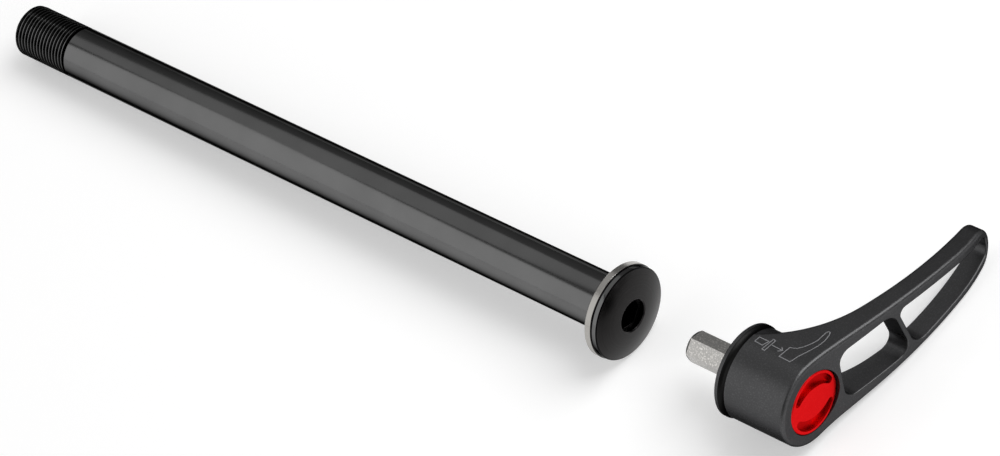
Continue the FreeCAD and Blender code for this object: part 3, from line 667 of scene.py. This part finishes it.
def make_spring(finish):
    """Coil spring against its seat, drawn in one fixed shape; in the real lever it is pressed
    together as the lever is pulled out.
    """
    shape = bmesh.new()
    steps = SPRING_TURNS * SPRING_STEPS
    first_station, last_station = SPRING_BACK + SPRING_WIRE, SPRING_FRONT - SPRING_WIRE
    sections = []
    for step in range(steps + 1):
        turn = 2 * math.pi * step / SPRING_STEPS
        middle = first_station + (last_station - first_station) * step / steps
        section = []
        for corner in range(WIRE_SIDES):
            angle = 2 * math.pi * corner / WIRE_SIDES
            r = SPRING_MEAN + SPRING_WIRE * math.cos(angle)
            x = middle + SPRING_WIRE * math.sin(angle)
            section.append(shape.verts.new((x, r * math.cos(turn), r * math.sin(turn))))
        sections.append(section)
    skin(shape, sections)
    spring = new_piece("coil_spring", shape, AXLE, "drive", finish)
    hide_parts("return_spring")
    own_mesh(spring)


def lever_top(side):
    """Height of the lever's upper side over the axle's middle: its barrel, then the arm's flank."""
    if side < FLANK_START:
        return math.sqrt(BARREL_RADIUS ** 2 - side ** 2)
    return FLANK_CENTRE[1] + math.sqrt(FLANK_RADIUS ** 2 - (side - FLANK_CENTRE[0]) ** 2)


def add_line(shape, points, closed):
    """Thin raised line on the lever's upper side along (station, side) points."""
    places = [Vector(point) for point in points]
    pairs = list(zip(places, places[1:] + places[:1]))
    for start, end in pairs if closed else pairs[:-1]:
        along = (end - start).normalized() * SIGN_LINE / 2
        across = Vector((-along.y, along.x))
        steps = max(1, math.ceil((end - start).length / SIGN_STEP))
        start, end = start - along, end + along
        sections = []
        for step in range(steps + 1):
            middle = start.lerp(end, step / steps)
            corners = [(middle + across, SIGN_PROUD), (middle - across, SIGN_PROUD),
                       (middle - across, -SIGN_SUNK), (middle + across, -SIGN_SUNK)]
            sections.append([shape.verts.new((*point, lever_top(point.y) + height))
                             for point, height in corners])
        skin(shape, sections)


def make_sign(finish):
    shape = bmesh.new()
    for outline in (SIGN_LEVER, SIGN_STUB, SIGN_FLANGE):
        add_line(shape, outline, True)
    for line in (SIGN_SHAFT, SIGN_ARROW):
        add_line(shape, line, False)
    new_piece("plug_in_sign", shape, LEVER, "handle", finish)


def finish_node(name, finish):
    """Give a node of the frame its finish, in every material slot that it has."""
    node = frame["nodes"][name]
    if not node.data.materials:
        node.data.materials.append(finish)
    for slot in node.material_slots:
        slot.material = finish


# Studio
def make_floor():
    material, tree, shader = new_finish("studio_floor", Roughness=0.9)
    shader.inputs["Base Color"].default_value = (0.72, 0.72, 0.72, 1)
    shader.inputs["Emission Color"].default_value = (1, 1, 1, 1)
    rays = tree.nodes.new("ShaderNodeLightPath")
    seen = math_node(tree, "MAXIMUM", rays.outputs["Is Camera Ray"], rays.outputs["Is Glossy Ray"])
    seen = math_node(tree, "MAXIMUM", seen, rays.outputs["Is Transmission Ray"])
    link(tree, math_node(tree, "MULTIPLY", seen, FLOOR_GLOW), shader.inputs["Emission Strength"])
    shape = bmesh.new()
    bmesh.ops.create_grid(shape, x_segments=8, y_segments=8, size=FLOOR_SIZE / 2)
    mesh = bpy.data.meshes.new("studio_floor")
    shape.to_mesh(mesh)
    shape.free()
    mesh.materials.append(material)
    floor = bpy.data.objects.new("studio_floor", mesh)
    bpy.context.scene.collection.objects.link(floor)


def make_world():
    world = bpy.data.worlds.new("studio_room")
    world.use_nodes = True
    background = world.node_tree.nodes["Background"]
    background.inputs["Color"].default_value = (1, 1, 1, 1)
    background.inputs["Strength"].default_value = ROOM_LIGHT
    bpy.context.scene.world = world


def make_softbox(name, direction, distance, width, height, brightness):
    """Area lamp that faces the object. Its brightness is 1 where it would look white."""
    lamp = bpy.data.lights.new(name, "AREA")
    lamp.shape = "RECTANGLE"
    lamp.size = width
    lamp.size_y = height
    lamp.energy = brightness * math.pi * width * height
    softbox = bpy.data.objects.new(name, lamp)
    away = Vector(direction).normalized()
    softbox.location = STUDIO_AIM + away * distance
    softbox.rotation_euler = (-away).to_track_quat("-Z", "Y").to_euler()
    bpy.context.scene.collection.objects.link(softbox)


def make_lights():
    make_softbox("front_softbox", (-0.576, -0.668, 0.470), 2.4, 2.6, 2.55, 0.93)
    make_softbox("top_softbox", (-0.576, 0.260, 0.775), 2.0, 1.6, 1.3, 0.41)
    make_softbox("lever_softbox", (0.85, -0.20, 0.48), 1.2, 0.8, 0.8, 0.8)
    make_softbox("key_softbox", (0.35, 0.50, 0.79), 1.4, 1.1, 1.1, 3.9)


def make_camera():
    azimuth, elevation = math.radians(CAMERA_AZIMUTH), math.radians(CAMERA_ELEVATION)
    back = Vector((math.sin(azimuth) * math.cos(elevation),
                   -math.cos(azimuth) * math.cos(elevation), math.sin(elevation)))
    camera = bpy.data.objects.new("camera", bpy.data.cameras.new("camera"))
    camera.data.lens = CAMERA_LENS
    camera.data.clip_start = 0.05
    level = (-back).to_track_quat("-Z", "Y").to_matrix().to_4x4()
    roll = Matrix.Rotation(math.radians(CAMERA_ROLL), 4, "Z")
    camera.matrix_world = Matrix.Translation(CAMERA_AIM + back * CAMERA_DISTANCE) @ level @ roll
    bpy.context.scene.collection.objects.link(camera)
    bpy.context.scene.camera = camera


black_tube = anodised_tube()
black_lever = anodised_lever()
steel = ground_steel()
rubber = matt_rubber()
make_axle(black_tube, turned_head())
make_sign(engraved_line())
make_spring(steel)
NODE_FINISHES = {
    "washer_o_ring": rubber,
    "thrust_washer": brushed_washer(),
    "drive_pin": blasted_bit(),
    "ratchet_hub": steel,
    "dust_seal": rubber,
    "spring_seat": steel,
    "retaining_screw": steel,
    "thrust_ring": steel,
    "lever": black_lever,
    "end_cap": red_anodised_cap(),
    "cap_o_ring": rubber,
}
for node_name, node_finish in NODE_FINISHES.items():
    finish_node(node_name, node_finish)
make_floor()
make_world()
make_lights()
make_camera()
bpy.context.scene.view_settings.view_transform = "Standard"
